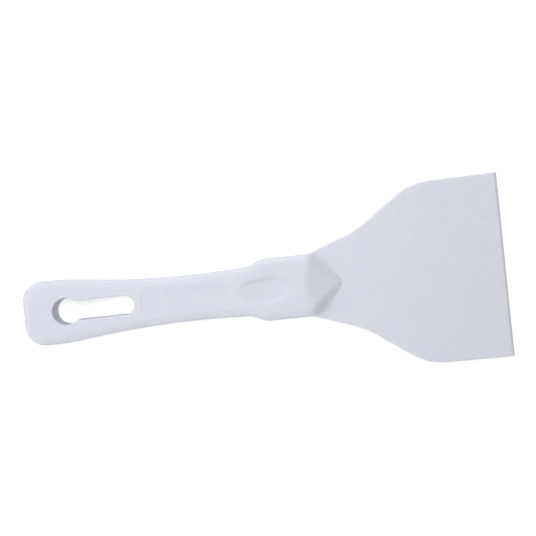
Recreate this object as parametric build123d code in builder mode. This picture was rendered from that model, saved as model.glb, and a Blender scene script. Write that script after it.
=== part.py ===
from build123d import *
from math import atan, hypot, radians, sin, tan
import os

# Pan scraper, one moulding: grip, bolster, prow and blade are features of a single piece.
# Millimetres. The origin is the centre of the box: +X towards the scraping edge, +Y across
# the blade, +Z out of one broad face. The two mould halves part at Z = 0 and are alike, so
# the upper half is modelled and then mirrored.

# Overall sizes
overall_length = 266.0
blade_width = 102.0
grip_thickness = 14.0
draft_angle = 1.5
overrun = 5.0
point_tolerance = 0.02

# Grip, seen from above
end_width = 35.6
end_corner_radius = 11.0
end_straight = 13.0
waist_width = 25.4
waist_share = 0.707
waist_flare = 1.0
swell_share = 0.25
grip_edge_radius = 4.5

# Bolster, the wider block that the thumb presses on
bolster_width = 34.5
bolster_length = 27.0
bolster_step_run = 6.3
bolster_step_radius = 13.0
bolster_step_share = 0.95

# Blade
blade_length = 108.0
blade_root_thickness = 4.0
blade_front_thickness = 2.6
blade_edge_radius = 1.1
knee_width = 54.2
knee_share = 0.256
knee_radius = 55.0
shoulder_width = 100.5
shoulder_share = 0.555
shoulder_radius = 35.0
bevel_length = 1.6
nose_thickness = 0.8
root_overlap = 8.0

# Prow, the wedge that carries the bolster down onto the blade
prow_length = 23.0
prow_shoulder_radius = 6.0
prow_tip_allowance = 2.0
prow_foot_radius = 3.5
prow_foot_share = 0.7

# Ramp, the slope on top of the prow
ramp_setback = 2.75
ramp_tip_height = 0.7
ramp_lead_share = 0.15
ramp_crest_radius = 18.0

# Hanging keyhole, sizes at the parting plane
eye_diameter = 14.4
eye_from_end = 23.9
slot_width = 10.2
keyhole_length = 44.4
keyhole_throat_radius = 2.5
keyhole_rim_radius = 0.6

# Bare recessed panel
panel_width = 12.0
panel_slot_gap = 3.9
panel_dish_gap = 7.3
panel_depth = 0.3
panel_corner_radius = 0.8

# Thumb dish
dish_length = 27.0
dish_width = 13.5
dish_floor_width = 7.5
dish_depth = 1.4
dish_before_neck = 23.4
dish_floor_radius = 4.0
dish_rim_radius = 5.0

# Stations along the length
half_grip = grip_thickness / 2
x_end = -overall_length / 2
x_edge = overall_length / 2
x_neck = x_edge - blade_length
x_shoulder = x_neck - bolster_length
x_step = x_shoulder - bolster_step_run
x_straight = x_end + end_straight
x_waist = x_straight + waist_share * (x_step - x_straight)
x_root = x_neck - root_overlap
x_knee = x_neck + knee_share * blade_length
x_blade_shoulder = x_neck + shoulder_share * blade_length
x_bevel = x_edge - bevel_length
x_eye = x_end + eye_from_end
x_slot_end = x_eye - eye_diameter / 2 + keyhole_length
x_dish = x_neck - dish_before_neck
x_panel_start = x_slot_end + panel_slot_gap
x_panel_end = x_dish - dish_length / 2 - panel_dish_gap
x_ramp = x_neck - ramp_setback

# The bolster's step is a sloping line that its two roundings may nearly use up.
step_half_width = waist_width / 2 + waist_flare
step_rise = bolster_width / 2 - step_half_width
step_length = hypot(bolster_step_run, step_rise)
step_limit = bolster_step_share * step_length / 2 / tan(atan(step_rise / bolster_step_run) / 2)
step_radius = min(bolster_step_radius, step_limit)

# The blade's edge line runs back inside the grip and on past the scraping edge.
flare_slope = (knee_width - bolster_width) / 2 / (x_knee - x_neck)
root_half_width = bolster_width / 2 - flare_slope * root_overlap
side_slope = (blade_width - shoulder_width) / 2 / (x_edge - x_blade_shoulder)

# Each broad face of the blade slopes evenly from its root to the bevel, and the bevel runs
# on outwards until it is as high as the root.
face_slope = (blade_root_thickness - blade_front_thickness) / 2 / (x_bevel - x_root)
bevel_slope = (blade_front_thickness - nose_thickness) / 2 / bevel_length
bevel_run = (blade_root_thickness - nose_thickness) / 2 / bevel_slope


def blade_half_thickness(x):
    """Half the blade's thickness at a station, on its straight taper."""
    return blade_root_thickness / 2 - face_slope * (x - x_root)


# The ramp leaves the grip's face and stands a little proud of the blade at the prow's tip,
# and the hollow foot is limited by the prow's height over the blade. The prow's wall runs on
# below the parting plane while the long edge is rounded, which needs it near the tip.
foot_radius = min(prow_foot_radius, prow_foot_share * (half_grip - blade_half_thickness(x_neck)))
prow_tip_radius = grip_edge_radius + prow_tip_allowance
prow_half_angle = atan(bolster_width / 2 / prow_length)
x_prow_tip = x_neck + prow_length - prow_tip_radius * (1 / sin(prow_half_angle) - 1)
ramp_tip_z = blade_half_thickness(x_prow_tip) + ramp_tip_height
ramp_slope = (half_grip - ramp_tip_z) / (x_prow_tip - x_ramp)
x_ramp_end = x_neck + prow_length + overrun
core_depth = grip_edge_radius
core_offset = core_depth * tan(radians(draft_angle))

# The dish is a shallow barrel: a large radius along the grip, and sloping walls across it
# that run on above the grip's face by as much as the dish is deep.
dish_radius = ((dish_length / 2) ** 2 + dish_depth**2) / (2 * dish_depth)
dish_floor = half_grip - dish_depth
dish_top_width = 2 * dish_width - dish_floor_width


def at_station(points, x):
    """The points of an outline that lie at one station along the length."""
    return [point for point in points if abs(point.X - x) < point_tolerance]


# Upper half of the blade: its outline, cut square to its sloping face, with the long edges
# rounded, and then trimmed to its side view
face_plane = Plane(
    origin=(0, 0, blade_half_thickness(0)), x_dir=(1, 0, -face_slope), z_dir=(face_slope, 0, 1)
)
with BuildPart() as blade_half:
    with BuildSketch(face_plane) as blade_plan:
        with BuildLine():
            Polyline(
                (x_root, 0),
                (x_root, -root_half_width),
                (x_knee, -knee_width / 2),
                (x_blade_shoulder, -shoulder_width / 2),
                (x_edge + overrun, -blade_width / 2 - side_slope * overrun),
                (x_edge + overrun, 0),
            )
            mirror(about=Plane.XZ)
        make_face()
        fillet(at_station(blade_plan.vertices(), x_knee), radius=knee_radius)
        fillet(at_station(blade_plan.vertices(), x_blade_shoulder), radius=shoulder_radius)
    extrude(amount=-blade_root_thickness)
    upper_edges = blade_half.faces().sort_by(Axis.Z)[-1].edges()
    fillet(upper_edges.filter_by(lambda edge: abs((edge % 0.5).X) > 0.1), radius=blade_edge_radius)
    with BuildSketch(Plane.XZ):
        with BuildLine():
            Polyline(
                (x_root, 0),
                (x_root, blade_root_thickness / 2),
                (x_edge - bevel_run, blade_root_thickness / 2),
                (x_edge, nose_thickness / 2),
                (x_edge, 0),
                close=True,
            )
        make_face()
    extrude(amount=blade_width / 2 + overrun, both=True, mode=Mode.INTERSECT)

# Wedge that cuts the ramp, with a rounded crest where it leaves the grip's face
with BuildPart() as ramp_tool:
    with BuildSketch(Plane.XZ) as ramp_profile:
        with BuildLine():
            Polyline(
                (x_ramp - bolster_length, half_grip + ramp_slope * ramp_lead_share * bolster_length),
                (x_ramp, half_grip),
                (x_ramp_end, half_grip - ramp_slope * (x_ramp_end - x_ramp)),
                (x_ramp_end, half_grip + overrun),
                (x_ramp - bolster_length, half_grip + overrun),
                close=True,
            )
        make_face()
        fillet(at_station(ramp_profile.vertices(), x_ramp), radius=ramp_crest_radius)
    extrude(amount=bolster_width, both=True)

# Barrel that cuts the thumb dish
with BuildPart() as dish_tool:
    with BuildSketch(Plane.YZ.offset(x_dish)) as dish_profile:
        with BuildLine():
            Polyline(
                (-dish_floor_width / 2, dish_floor),
                (dish_floor_width / 2, dish_floor),
                (dish_top_width / 2, half_grip + dish_depth),
                (dish_top_width / 2, dish_floor + dish_radius),
                (-dish_top_width / 2, dish_floor + dish_radius),
                (-dish_top_width / 2, half_grip + dish_depth),
                close=True,
            )
        make_face()
        fillet(dish_profile.vertices().group_by(Axis.Y)[0], radius=dish_floor_radius)
    revolve(axis=Axis((x_dish, 0, dish_floor + dish_radius), (0, 1, 0)))

# Outline of grip, bolster and prow at the parting plane
with BuildSketch(Plane.XY) as grip_plan:
    with BuildLine():
        butt = Polyline(
            (x_end, 0),
            (x_end, -end_width / 2),
            (x_straight, -end_width / 2),
        )
        waist_point = Vector(x_waist, -waist_width / 2)
        turning_point = butt @ 1 + (waist_point - butt @ 1) * swell_share
        swell = TangentArc(butt @ 1, turning_point, tangent=butt % 1)
        TangentArc(turning_point, waist_point, tangent=swell % 1)
        flare = TangentArc(waist_point, (x_step, -step_half_width), tangent=butt % 1)
        Polyline(
            flare @ 1,
            (x_shoulder, -bolster_width / 2),
            (x_neck, -bolster_width / 2),
            (x_neck + prow_length, 0),
        )
        mirror(about=Plane.XZ)
    make_face()
    fillet(at_station(grip_plan.vertices(), x_end), radius=end_corner_radius)
    fillet(at_station(grip_plan.vertices(), x_step), radius=step_radius)
    fillet(at_station(grip_plan.vertices(), x_shoulder), radius=step_radius)
    fillet(at_station(grip_plan.vertices(), x_neck), radius=prow_shoulder_radius)
    fillet(at_station(grip_plan.vertices(), x_neck + prow_length), radius=prow_tip_radius)

with BuildPart() as scraper_body:
    # Grip, bolster and prow, drawn with draft from below the parting plane, cut by the ramp,
    # given the long soft edge and then cut off at the parting plane
    with BuildSketch(Plane.XY.offset(-core_depth)):
        add(grip_plan.sketch)
        offset(amount=core_offset, kind=Kind.ARC)
    extrude(amount=core_depth + half_grip, taper=draft_angle)
    add(ramp_tool.part, mode=Mode.SUBTRACT)
    upper_faces = scraper_body.faces().filter_by(lambda face: face.normal_at().Z > 0.9)
    walls = scraper_body.faces().filter_by(lambda face: abs(face.normal_at().Z) < 0.1)
    fillet(upper_faces.edges() & walls.edges(), radius=grip_edge_radius)
    split(bisect_by=Plane.XY, keep=Keep.TOP)

    # Blade, with the hollow foot where the prow's walls meet it
    add(blade_half.part)
    seam = scraper_body.edges(Select.NEW)
    blade_face = scraper_body.faces().filter_by(lambda face: face.normal_at().Z > 0.99)
    fillet(blade_face.sort_by(Axis.X)[-1].edges() & seam, radius=foot_radius)

    # Thumb dish
    add(dish_tool.part, mode=Mode.SUBTRACT)
    grip_face = scraper_body.faces().filter_by(Axis.Z).sort_by(Axis.Z)[-1]
    fillet(grip_face.inner_wires().edges(), radius=dish_rim_radius)

    # Recessed panel
    with BuildSketch(Plane.XY.offset(half_grip - panel_depth)):
        with Locations(((x_panel_start + x_panel_end) / 2, 0)):
            RectangleRounded(x_panel_end - x_panel_start, panel_width, panel_corner_radius)
    extrude(amount=panel_depth + overrun, mode=Mode.SUBTRACT)

    # Keyhole, narrowest at the parting plane, with a rounded rim
    with BuildSketch(Plane.XY) as keyhole_plan:
        with Locations((x_eye, 0)):
            Circle(eye_diameter / 2)
        with Locations((x_slot_end - slot_width / 2, 0)):
            Circle(slot_width / 2)
        with Locations(((x_eye + x_slot_end - slot_width / 2) / 2, 0)):
            Rectangle(x_slot_end - slot_width / 2 - x_eye, slot_width)
        throat = keyhole_plan.vertices().filter_by(
            lambda point: x_eye < point.X < x_eye + eye_diameter / 2
        )
        fillet(throat, radius=keyhole_throat_radius)
    extrude(amount=half_grip + overrun, taper=-draft_angle, mode=Mode.SUBTRACT)
    keyhole_rim = scraper_body.edges(Select.LAST).filter_by_position(
        Axis.Z, half_grip - point_tolerance, half_grip + point_tolerance
    )
    fillet(keyhole_rim, radius=keyhole_rim_radius)

    # The other mould half
    mirror(about=Plane.XY)

scraper_body.part.label = "scraper_body"

os.makedirs("parts", exist_ok=True)
export_step(scraper_body.part, "parts/scraper_body.step")
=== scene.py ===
import bmesh
import bpy
import numpy as np
from math import cos, radians, sin
from mathutils import Euler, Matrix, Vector


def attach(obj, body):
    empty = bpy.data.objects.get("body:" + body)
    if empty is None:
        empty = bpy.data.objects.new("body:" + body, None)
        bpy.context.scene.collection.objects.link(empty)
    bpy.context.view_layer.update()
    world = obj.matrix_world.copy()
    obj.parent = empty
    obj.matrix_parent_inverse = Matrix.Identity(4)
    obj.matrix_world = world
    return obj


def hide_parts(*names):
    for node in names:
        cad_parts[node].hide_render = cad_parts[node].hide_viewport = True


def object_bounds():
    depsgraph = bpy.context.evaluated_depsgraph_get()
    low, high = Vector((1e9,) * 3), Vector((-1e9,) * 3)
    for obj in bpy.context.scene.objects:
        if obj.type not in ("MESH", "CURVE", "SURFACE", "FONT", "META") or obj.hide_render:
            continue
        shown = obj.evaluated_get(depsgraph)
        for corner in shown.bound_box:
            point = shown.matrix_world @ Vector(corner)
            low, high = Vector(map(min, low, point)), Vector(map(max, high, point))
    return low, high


# Pan scraper, one white moulding, lying on a white floor. Lights, camera and material are in
# metres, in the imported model's frame: butt at -x, blade at +x, mould's parting plane at z = 0.

# Camera. The focal length is in pixels of the photograph, which is square.
PHOTO_SIZE_PX = 536
FOCAL_PX = 820.0
SENSOR_WIDTH_MM = 36.0
CAMERA_DISTANCE = 0.45206
CAMERA_TARGET = (0.002705, 0.011730, 0.0)
TURN_DEG = -6.11
TILT_DEG = -0.845

# Light tent: name, angle above the floor, compass angle from the picture's right, size, watts.
# The right-hand side has only one weak lamp, so slopes that face the blade's edge are darker.
LAMP_DISTANCE = 1.0
LAMPS = (
    ("overhead", 90, 0, 0.5, 2.18),
    ("roof_upper_left", 70, 120, 0.5, 2.44),
    ("roof_upper_right", 70, 60, 0.5, 1.93),
    ("wall_upper", 8, 90, 0.4, 3.92),
    ("wall_left", 25, 180, 0.5, 3.56),
    ("wall_lower", 8, 270, 0.4, 2.41),
    ("roof_lower", 48, 270, 0.5, 1.49),
    ("wall_right", 12, 0, 0.4, 0.5),
)

# White surroundings. The floor's glow reaches the camera alone and leaves a faint shadow.
BACKDROP_WHITE = 1.0
FLOOR_HALF = 3.0
FLOOR_GREY = 0.9
FLOOR_GLOW = 0.45

# Plastic: colours, noise scales per metre, and depths
PLASTIC_COLOUR = (0.740, 0.761, 0.843, 1.0)
MOTTLE_COLOUR = (0.725, 0.747, 0.834, 1.0)
GRAIN_COLOUR = (0.685, 0.705, 0.785, 1.0)
# Paler colour laid in patches on sharply convex edges, found by pointiness
PALE_EDGE_COLOUR = (0.760, 0.775, 0.840, 1.0)
MOTTLE_SCALE, MOTTLE_DETAIL = 60.0, 4.0
GRAIN_SCALE, GRAIN_DETAIL = 1100.0, 2.0
RIPPLE_SCALE, RIPPLE_DETAIL = 90.0, 1.0
COLOUR_BAND = (0.35, 0.65)
GLOSS_BAND = (0.3, 0.7)
PALE_EDGE_POINTINESS = (0.52, 0.62)
PALE_EDGE_GRAIN_BAND = (0.4, 0.6)
PALE_EDGE_LEAST = 0.2
ROUGHNESS_RANGE = (0.46, 0.54)
SOAK_WEIGHT = 0.25
SOAK_DEPTH = 0.002
SOAK_BY_CHANNEL = (1.0, 1.0, 1.0)
GRAIN_DEPTH = 0.00006
RIPPLE_DEPTH = 0.00004
PARTING_HALF_WIDTH = 0.00010
PARTING_HEIGHT = 0.00003

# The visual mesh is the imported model's own, apart from a tube round the neck and a patch with
# the thumb dish. Their sizes are in millimetres.
MM = 0.001
HALF_GRIP = 7.0
NECK_X = 25.0
HALF_BOLSTER = 17.25
DRAFT_SLOPE = 0.0262

# Prow: a rounded V in plan, whose soft edge widens towards the tip, on a hollow foot
PROW_LENGTH = 25.5
PROW_TIP_RADIUS = 7.0
SHOULDER_BLEND = 1.6
EDGE_RADIUS = 4.5
PROW_EDGE_RADIUS = 6.5
PROW_EDGE_RUN = 6.0
FOOT_RADIUS = 5.0

# Ramp on the prow, from its bowed crest down to the blade
RAMP_X = 22.25
RAMP_SLOPE = 0.227
CREST_HALF = 2.36
CREST_BOW = 0.022
APEX_BLEND = 0.7

# Blade: its taper, and its side from the soft corner at the neck to the rounded knee
BLADE_ROOT_X = 17.0
BLADE_HALF_ROOT = 2.0
BLADE_FACE_SLOPE = 0.00612
BLADE_EDGE_RADIUS = 1.1
NECK_BLEND = 2.2
NECK_INNER_SLOPE = 0.7
FLARE_SLOPE = 0.3562
KNEE_X = 52.648
KNEE_HALF = 27.1
KNEE_RADIUS = 55.0
UPPER_SLOPE = 0.7170

# Tube's rings. Rays find the surface: upright ones over the middle, and a fan of them round the
# rim, from a centre that lies the rim's depth inside the outline.
TUBE_START = 17.7
TUBE_END = 56.0
TUBE_STEP = 0.4
TUBE_ACROSS = 44
TUBE_FAN = 16
RIM_DEPTHS = (6.0, 2.2)
RIM_STATIONS = (NECK_X - 4, NECK_X + 3)
RAY_REACH = 12.0
RAY_HALVINGS = 30

# Thumb dish: an oval with a level floor, whose end towards the butt is the longer one
DISH_X = 1.9
DISH_BACK = 18.4
DISH_FRONT = 13.0
DISH_HALF_WIDTH = 8.0
DISH_FLOOR_SHARE = 0.58
DISH_DEPTH = 1.25
DISH_FADE = 1.6
PATCH_X = (-16.5, 17.0)
PATCH_Y = 8.0
PATCH_STEP = 0.4
PATCH_LEAST_HEIGHT = 4.0
TINY = 0.001
CUT_TOLERANCE = 1e-7


def set_socket(node, name, value):
    node.inputs[name].default_value = value


def link_object(name, data):
    made = bpy.data.objects.new(name, data)
    bpy.context.collection.objects.link(made)
    return made


def make_camera():
    """The photograph's view: nearly straight down, with the tool turned in the picture."""
    camera = link_object("camera", bpy.data.cameras.new("camera"))
    camera.data.sensor_width = SENSOR_WIDTH_MM
    camera.data.lens = SENSOR_WIDTH_MM * FOCAL_PX / PHOTO_SIZE_PX
    turn = Euler((0, 0, radians(TURN_DEG))).to_matrix()
    tilt = Euler((radians(TILT_DEG), 0, 0)).to_matrix()
    rotation = turn @ tilt
    camera.location = Vector(CAMERA_TARGET) + rotation @ Vector((0, 0, CAMERA_DISTANCE))
    camera.rotation_euler = rotation.to_euler()
    bpy.context.scene.camera = camera


def make_lamp(name, height_deg, compass_deg, size, watts):
    """A round lamp that faces the tool."""
    height = radians(height_deg)
    compass = radians(compass_deg + TURN_DEG)
    direction = Vector((cos(compass) * cos(height), sin(compass) * cos(height), sin(height)))
    light = bpy.data.lights.new(name, "AREA")
    light.shape = "DISK"
    light.size = size
    light.energy = watts
    lamp = link_object(name, light)
    lamp.location = direction * LAMP_DISTANCE
    lamp.rotation_euler = direction.to_track_quat("Z", "Y").to_euler()


def split_by_camera(nodes, links, others, seen, output_kind):
    """Give camera rays one shader and all other rays another."""
    mix = nodes.new("ShaderNodeMixShader")
    links.new(nodes.new("ShaderNodeLightPath").outputs["Is Camera Ray"], mix.inputs[0])
    links.new(others.outputs[0], mix.inputs[1])
    links.new(seen.outputs[0], mix.inputs[2])
    links.new(mix.outputs[0], nodes.new(output_kind).inputs["Surface"])


def make_world():
    world = bpy.data.worlds.new("studio")
    bpy.context.scene.world = world
    world.use_nodes = True
    nodes, links = world.node_tree.nodes, world.node_tree.links
    nodes.clear()
    white = nodes.new("ShaderNodeBackground")
    set_socket(white, "Strength", BACKDROP_WHITE)
    dark = nodes.new("ShaderNodeBackground")
    set_socket(dark, "Strength", 0.0)
    split_by_camera(nodes, links, dark, white, "ShaderNodeOutputWorld")


def make_floor(height):
    mesh = bpy.data.meshes.new("floor")
    signs = ((-1, -1), (1, -1), (1, 1), (-1, 1))
    corners = [(x * FLOOR_HALF, y * FLOOR_HALF, height) for x, y in signs]
    mesh.from_pydata(corners, [], [(0, 1, 2, 3)])
    floor = link_object("floor", mesh)
    material = bpy.data.materials.new("white_floor")
    material.use_nodes = True
    nodes, links = material.node_tree.nodes, material.node_tree.links
    nodes.clear()
    diffuse = nodes.new("ShaderNodeBsdfDiffuse")
    set_socket(diffuse, "Color", (FLOOR_GREY, FLOOR_GREY, FLOOR_GREY, 1))
    glow = nodes.new("ShaderNodeEmission")
    set_socket(glow, "Strength", FLOOR_GLOW)
    lit = nodes.new("ShaderNodeAddShader")
    links.new(diffuse.outputs[0], lit.inputs[0])
    links.new(glow.outputs[0], lit.inputs[1])
    split_by_camera(nodes, links, diffuse, lit, "ShaderNodeOutputMaterial")
    mesh.materials.append(material)


def make_noise(nodes, links, position, scale, detail):
    noise = nodes.new("ShaderNodeTexNoise")
    set_socket(noise, "Scale", scale)
    set_socket(noise, "Detail", detail)
    links.new(position, noise.inputs["Vector"])
    return noise.outputs[0]


def map_range(nodes, links, value, old, new):
    node = nodes.new("ShaderNodeMapRange")
    for name, number in zip(("From Min", "From Max", "To Min", "To Max"), (*old, *new)):
        set_socket(node, name, number)
    links.new(value, node.inputs["Value"])
    return node.outputs["Result"]


def mix_colour(nodes, links, factor, first, second):
    """Mix two colours, each a constant or another node's output."""
    node = nodes.new("ShaderNodeMix")
    node.data_type = "RGBA"
    links.new(factor, node.inputs["Factor"])
    for name, source in (("A", first), ("B", second)):
        target = [s for s in node.inputs if s.name == name and s.type == "RGBA"][0]
        if isinstance(source, tuple):
            target.default_value = source
        else:
            links.new(source, target)
    return [s for s in node.outputs if s.type == "RGBA"][0]


def make_math(nodes, links, operation, *values):
    node = nodes.new("ShaderNodeMath")
    node.operation = operation
    for value, socket in zip(values, node.inputs):
        links.new(value, socket)
    return node.outputs[0]


def add_bump(nodes, links, height, distance, normal=None):
    node = nodes.new("ShaderNodeBump")
    set_socket(node, "Distance", distance)
    set_socket(node, "Strength", 1.0)
    links.new(height, node.inputs["Height"])
    if normal is not None:
        links.new(normal, node.inputs["Normal"])
    return node.outputs["Normal"]


def make_plastic():
    material = bpy.data.materials.new("white_moulded_plastic")
    material.use_nodes = True
    nodes, links = material.node_tree.nodes, material.node_tree.links
    shader = nodes["Principled BSDF"]
    position = nodes.new("ShaderNodeTexCoord").outputs["Object"]
    mottle = make_noise(nodes, links, position, MOTTLE_SCALE, MOTTLE_DETAIL)
    grain = make_noise(nodes, links, position, GRAIN_SCALE, GRAIN_DETAIL)
    ripple = make_noise(nodes, links, position, RIPPLE_SCALE, RIPPLE_DETAIL)

    # Colour: slight mottling and grain, and a paler colour in patches where the mesh is sharply
    # convex
    mottled = map_range(nodes, links, mottle, COLOUR_BAND, (0, 1))
    colour = mix_colour(nodes, links, mottled, PLASTIC_COLOUR, MOTTLE_COLOUR)
    grained = map_range(nodes, links, grain, COLOUR_BAND, (0, 1))
    colour = mix_colour(nodes, links, grained, colour, GRAIN_COLOUR)
    # Paler in patches along sharply convex edges
    pointiness = nodes.new("ShaderNodeNewGeometry").outputs["Pointiness"]
    edges = map_range(nodes, links, pointiness, PALE_EDGE_POINTINESS, (0, 1))
    patchy = map_range(nodes, links, grain, PALE_EDGE_GRAIN_BAND, (PALE_EDGE_LEAST, 1))
    pale_edges = make_math(nodes, links, "MULTIPLY", edges, patchy)
    colour = mix_colour(nodes, links, pale_edges, colour, PALE_EDGE_COLOUR)
    links.new(colour, shader.inputs["Base Color"])

    # Gloss, uneven like the mould's own finish
    roughness = map_range(nodes, links, mottle, GLOSS_BAND, ROUGHNESS_RANGE)
    links.new(roughness, shader.inputs["Roughness"])

    # Light that soaks into the plastic
    set_socket(shader, "Subsurface Weight", SOAK_WEIGHT)
    set_socket(shader, "Subsurface Radius", SOAK_BY_CHANNEL)
    set_socket(shader, "Subsurface Scale", SOAK_DEPTH)

    # Surface: fine grain, faint waves of shrinkage and the thin line where the mould parts
    axes = nodes.new("ShaderNodeSeparateXYZ")
    links.new(position, axes.inputs[0])
    from_parting = make_math(nodes, links, "ABSOLUTE", axes.outputs["Z"])
    line = map_range(nodes, links, from_parting, (0, PARTING_HALF_WIDTH), (1, 0))
    normal = add_bump(nodes, links, ripple, RIPPLE_DEPTH)
    normal = add_bump(nodes, links, grain, GRAIN_DEPTH, normal)
    normal = add_bump(nodes, links, line, PARTING_HEIGHT, normal)
    links.new(normal, shader.inputs["Normal"])
    return material


def rounded_corner(a, b, radius):
    """Distance to the overlap of two regions, with its edge rounded."""
    corner = np.hypot(np.maximum(radius + a, 0), np.maximum(radius + b, 0))
    return np.minimum(np.maximum(a, b), -radius) + corner


def smooth_max(a, b, width):
    """The greater of two values, with a curve where they are nearly alike."""
    return np.maximum(a, b) + np.maximum(width - np.abs(a - b), 0) ** 2 / (4 * width)


def bend(u, half, slope):
    """A line that is level up to -half, then curves, and goes on with a slope from half."""
    curve = slope * (u + half) ** 2 / (4 * half)
    return np.where(u < -half, 0, np.where(u < half, curve, slope * u))


def arc_height(offset, radius):
    """Height of a round arc above its centre, for an offset kept within the radius."""
    return np.sqrt(np.maximum(radius**2 - np.clip(offset, 0, radius) ** 2, 0))


def plan_distance(x, y):
    """Distance to the bolster's and prow's outline, below zero inside it."""
    reach = np.hypot(HALF_BOLSTER, PROW_LENGTH)
    along, across = HALF_BOLSTER / reach, PROW_LENGTH / reach
    near_side = along * (x - NECK_X) + across * (y - HALF_BOLSTER)
    far_side = along * (x - NECK_X) + across * (-y - HALF_BOLSTER)
    prow = rounded_corner(near_side, far_side, PROW_TIP_RADIUS)
    return smooth_max(prow, y - HALF_BOLSTER, SHOULDER_BLEND)


def edge_radius(x):
    """The long edge's rounding, which grows along the prow."""
    return np.interp(x, (NECK_X, NECK_X + PROW_EDGE_RUN), (EDGE_RADIUS, PROW_EDGE_RADIUS))


def blade_top(x):
    """Height of the blade's tapering face."""
    return BLADE_HALF_ROOT - BLADE_FACE_SLOPE * (x - BLADE_ROOT_X)


def blade_side(x):
    """Half the blade's width. Behind the neck it tucks into the bolster."""
    u = x - NECK_X
    tucked = NECK_INNER_SLOPE * (u + NECK_BLEND)
    side = HALF_BOLSTER + np.where(u < -NECK_BLEND, tucked, bend(u, NECK_BLEND, FLARE_SLOPE))
    low, high = np.arctan(FLARE_SLOPE), np.arctan(UPPER_SLOPE)
    tangent = KNEE_RADIUS * np.tan((high - low) / 2)
    start_x = KNEE_X - tangent * np.cos(low)
    start_y = KNEE_HALF - tangent * np.sin(low)
    centre_x = start_x - KNEE_RADIUS * np.sin(low)
    centre_y = start_y + KNEE_RADIUS * np.cos(low)
    knee = centre_y - np.sqrt(KNEE_RADIUS**2 - (x - centre_x) ** 2)
    return np.where(x > start_x, knee, side)


def ramp_top(x, y):
    """Height of the grip's face, the rounded and slightly bowed crest and the ramp."""
    return HALF_GRIP - bend(x - RAMP_X - CREST_BOW * y**2, CREST_HALF, RAMP_SLOPE)


def prow_top(x, y):
    """Height of prow and blade: the ramp, a rounded edge, a hollow foot, then the blade."""
    over = smooth_max(ramp_top(x, y) - blade_top(x), 0, APEX_BLEND)
    edge = edge_radius(x)
    both = edge + FOOT_RADIUS
    turn = np.arccos(np.clip(1 - over / both, -1, 1))
    out = edge + plan_distance(x, y)
    edge_end = edge * np.sin(turn)
    foot_end = both * np.sin(turn)
    edge_height = over - edge + arc_height(out, edge)
    foot_height = FOOT_RADIUS - arc_height(foot_end - out, FOOT_RADIUS)
    foot = np.where(out < foot_end, foot_height, 0)
    return blade_top(x) + np.where(out < 0, over, np.where(out < edge_end, edge_height, foot))


def outside(x, y, z):
    """Above zero outside the upper half of the body."""
    past_side = (y - blade_side(x)) / np.hypot(1, FLARE_SLOPE)
    blade = rounded_corner(z - prow_top(x, y), past_side, BLADE_EDGE_RADIUS)
    past_wall = plan_distance(x, y) + z * DRAFT_SLOPE
    core = rounded_corner(past_wall, z - ramp_top(x, y), edge_radius(x))
    return np.minimum(blade, core)


def quarter_rings(stations):
    """Points of each ring's first quarter, from the top's middle round to the parting plane."""
    half = np.maximum(blade_side(stations), np.where(stations < NECK_X, HALF_BOLSTER, 0))
    centre = half - np.interp(stations, RIM_STATIONS, RIM_DEPTHS)
    across = centre * np.linspace(0, 1, TUBE_ACROSS, endpoint=False)
    angle = np.linspace(np.pi / 2, 0, TUBE_FAN + 1) + 0 * centre
    start = np.hstack([across, centre + 0 * angle])
    ray_y = np.hstack([0 * across, np.cos(angle)])
    ray_z = np.hstack([1 + 0 * across, np.sin(angle)])
    near, far = 0 * start, RAY_REACH + 0 * start
    for _ in range(RAY_HALVINGS):
        middle = (near + far) / 2
        out = outside(stations + 0 * start, start + ray_y * middle, ray_z * middle) > 0
        far = np.where(out, middle, far)
        near = np.where(out, near, middle)
    y, z = start + ray_y * near, ray_z * near
    z[:, -1] = 0
    return y, z


def tube_mesh():
    """The body between the bolster and the knee, as rings of points on its surface."""
    steps = int((TUBE_END - TUBE_START) / TUBE_STEP)
    stations = np.linspace(TUBE_START, TUBE_END, steps + 1)[:, None]
    y, z = quarter_rings(stations)
    ring_y = np.hstack([y, y[:, -2::-1], -y[:, 1:], -y[:, -2:0:-1]])
    ring_z = np.hstack([z, -z[:, -2::-1], -z[:, 1:], z[:, -2:0:-1]])
    count = ring_y.shape[1]
    points = np.stack([stations + 0 * ring_y, ring_y, ring_z], axis=-1).reshape(-1, 3)
    faces = []
    for ring in range(0, steps * count, count):
        for here in range(count):
            there = (here + 1) % count
            faces.append((ring + here, ring + count + here, ring + count + there, ring + there))
    return points, faces


def dish_depth(x, y):
    reach = np.where(x < DISH_X, DISH_BACK, DISH_FRONT)
    along = np.clip(1 - ((x - DISH_X) / reach) ** 2, 0, 1)
    half = DISH_HALF_WIDTH * np.sqrt(along) + TINY
    share = np.clip((np.abs(y) / half - DISH_FLOOR_SHARE) / (1 - DISH_FLOOR_SHARE), 0, 1)
    return DISH_DEPTH * along**DISH_FADE * (1 - share**2 * (3 - 2 * share))


def patch_mesh():
    """The grip's face with the thumb dish, on both sides."""
    length = PATCH_X[1] - PATCH_X[0]
    xs = np.linspace(*PATCH_X, int(length / PATCH_STEP) + 1)
    ys = np.linspace(-PATCH_Y, PATCH_Y, int(2 * PATCH_Y / PATCH_STEP) + 1)
    x, y = np.meshgrid(xs, ys, indexing="ij")
    z = HALF_GRIP - dish_depth(x, y)
    points = np.vstack([np.stack([x, y, side * z], axis=-1).reshape(-1, 3) for side in (1, -1)])
    row = len(ys)
    faces = []
    for base, way in ((0, 1), (x.size, -1)):
        for i in range(len(xs) - 1):
            for j in range(row - 1):
                corner = base + i * row + j
                faces.append((corner, corner + row, corner + row + 1, corner + 1)[::way])
    return points, faces


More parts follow.
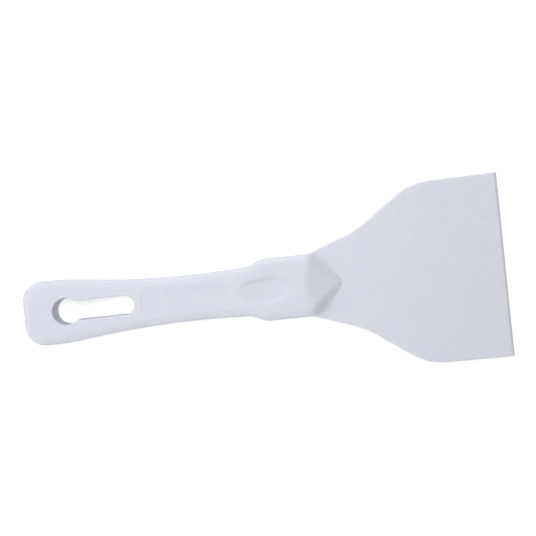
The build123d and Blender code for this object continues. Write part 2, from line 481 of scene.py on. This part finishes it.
def cut_model(mesh):
    """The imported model's mesh without the parts that the tube and the patch stand for."""
    kept_normals = mesh.attributes.new("kept_normal", "FLOAT_VECTOR", "CORNER")
    for corner, normal in enumerate(mesh.corner_normals):
        kept_normals.data[corner].vector = normal.vector
    work = bmesh.new()
    work.from_mesh(mesh)
    planes = [((x, 0, 0), (1, 0, 0)) for x in (TUBE_START, TUBE_END, *PATCH_X)]
    planes += [((0, y, 0), (0, 1, 0)) for y in (-PATCH_Y, PATCH_Y)]
    for place, facing in planes:
        bmesh.ops.bisect_plane(
            work,
            geom=work.verts[:] + work.edges[:] + work.faces[:],
            plane_co=Vector(place) * MM,
            plane_no=facing,
            dist=CUT_TOLERANCE,
        )
    replaced = []
    for face in work.faces:
        x, y, z = face.calc_center_median() / MM
        on_face = abs(y) < PATCH_Y and abs(z) > PATCH_LEAST_HEIGHT
        if TUBE_START < x < TUBE_END or (PATCH_X[0] < x < PATCH_X[1] and on_face):
            replaced.append(face)
    bmesh.ops.delete(work, geom=replaced, context="FACES")
    layer = work.loops.layers.float_vector["kept_normal"]
    work.verts.index_update()
    points = [tuple(vertex.co) for vertex in work.verts]
    faces = [tuple(vertex.index for vertex in face.verts) for face in work.faces]
    normals = [tuple(corner[layer]) for face in work.faces for corner in face.loops]
    work.free()
    return points, faces, normals


def smooth_normals(points, faces):
    """One normal for each corner of each face, from the smooth mesh."""
    mesh = bpy.data.meshes.new("for_normals")
    mesh.from_pydata(points, [], faces)
    normals = [tuple(normal.vector) for normal in mesh.vertex_normals]
    bpy.data.meshes.remove(mesh)
    return [normals[vertex] for face in faces for vertex in face]


def make_body(model):
    """The whole scraper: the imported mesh, the tube round the neck and the dish's patch."""
    points, faces, normals = cut_model(model.data.copy())
    for make_part in (tube_mesh, patch_mesh):
        part_points, part_faces = make_part()
        part_points = [tuple(point) for point in part_points * MM]
        normals += smooth_normals(part_points, part_faces)
        faces += [tuple(vertex + len(points) for vertex in face) for face in part_faces]
        points += part_points
    mesh = bpy.data.meshes.new("scraper")
    mesh.from_pydata(points, [], faces)
    for polygon in mesh.polygons:
        polygon.use_smooth = True
    mesh.normals_split_custom_set(normals)
    body = link_object("scraper", mesh)
    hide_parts("scraper_body")
    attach(body, "root")
    return body


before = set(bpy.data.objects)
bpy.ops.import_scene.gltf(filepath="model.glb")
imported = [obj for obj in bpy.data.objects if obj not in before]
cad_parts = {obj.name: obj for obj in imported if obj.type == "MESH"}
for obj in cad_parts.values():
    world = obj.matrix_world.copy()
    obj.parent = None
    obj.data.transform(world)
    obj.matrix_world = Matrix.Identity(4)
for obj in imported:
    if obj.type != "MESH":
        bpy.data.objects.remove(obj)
cad_low, cad_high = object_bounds()
plastic = make_plastic()
scraper = make_body(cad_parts["scraper_body"])
scraper.data.materials.append(plastic)
make_camera()
for lamp_settings in LAMPS:
    make_lamp(*lamp_settings)
make_world()
make_floor(cad_low.z)

bpy.context.scene.view_settings.view_transform = "Standard"
